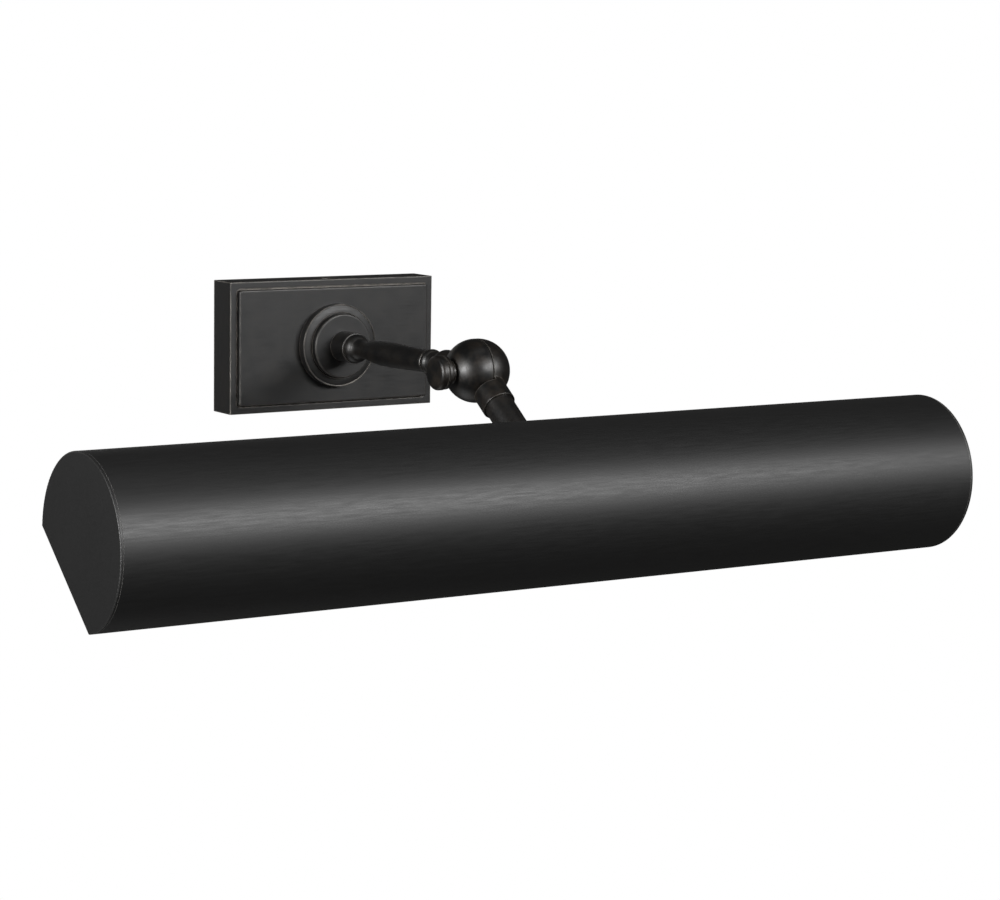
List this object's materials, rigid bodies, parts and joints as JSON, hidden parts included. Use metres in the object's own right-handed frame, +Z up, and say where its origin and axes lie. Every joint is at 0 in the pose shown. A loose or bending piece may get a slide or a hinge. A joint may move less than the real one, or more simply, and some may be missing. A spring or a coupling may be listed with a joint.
{
  "type": "picture light",
  "caption": "Wall-mounted picture light: rectangular plate, turned arm, ball knuckle with thumb knob, and a long half-open cylindrical shade over tubular lamps.",
  "frame": {"origin": "on the wall, at the centre of the wall plate's back", "axes": "+X along the shade, +Y into the wall, +Z up"},
  "size_m": [0.4572, 0.2452, 0.1256],
  "materials": {
    "bronze_black": "satin",
    "shade_black": "satin",
    "zinc_steel": "satin",
    "lamp_brass": "satin",
    "ground_green": "gloss",
    "fibre": "matte",
    "cable_sheath": "matte",
    "lead_black": "satin",
    "lead_white": "satin",
    "lead_green": "satin",
    "wire_nut": "matte",
    "socket_moulding": "satin",
    "lamp_glass": "clear",
    "filament": "satin"
  },
  "bodies": {
    "wall_arm": {"wall_plate": "bronze_black", "plate_screws": "bronze_black", "mounting_strap": "zinc_steel", "ground_screw": "ground_green", "rosette_base": "bronze_black", "rosette_cap": "bronze_black", "arm_collar": "bronze_black", "arm_nipple": "zinc_steel", "nipple_washer": "zinc_steel", "nipple_nut": "lamp_brass", "arm_tube": "bronze_black", "arm_ferrule": "bronze_black", "hinge_half_fixed": "bronze_black", "friction_washer": "fibre", "spring_washer": "zinc_steel", "arm_cable": "cable_sheath", "live_lead": "lead_black", "neutral_lead": "lead_white", "ground_lead": "lead_green", "wire_nuts": "wire_nut"},
    "knob": {"thumb_knob": "bronze_black", "clamp_screw": "zinc_steel"},
    "shade": {"hinge_half_moving": "bronze_black", "stem_tube": "bronze_black", "stem_nipple": "zinc_steel", "stem_saddle": "zinc_steel", "stem_nut": "lamp_brass", "shade_shell": "shade_black", "lamp_bracket": "zinc_steel", "bracket_screws": "zinc_steel", "stem_cable": "cable_sheath", "end_cap_right": "shade_black", "lamp_socket_right": "socket_moulding", "screw_shell_right": "lamp_brass", "centre_contact_right": "lamp_brass", "socket_live_lead_right": "lead_black", "socket_neutral_lead_right": "lead_white", "lamp_glass_right": "lamp_glass", "lamp_cap_right": "lamp_brass", "lamp_filament_right": "filament", "end_cap_left": "shade_black", "lamp_socket_left": "socket_moulding", "screw_shell_left": "lamp_brass", "centre_contact_left": "lamp_brass", "socket_live_lead_left": "lead_black", "socket_neutral_lead_left": "lead_white", "lamp_glass_left": "lamp_glass", "lamp_cap_left": "lamp_brass", "lamp_filament_left": "filament"}
  },
  "joints": [
    {"name": "shade_tilt", "type": "hinge", "parent": "wall_arm", "child": "shade", "pos_m": [0, -0.15235, 0], "axis": [1, 0, 0], "range_deg": [-60, 50]},
    {"name": "knob_turn", "type": "hinge", "parent": "wall_arm", "child": "knob", "pos_m": [-0.018, -0.15235, 0], "axis": [-1, 0, 0], "range_deg": [0, 270]}
  ]
}
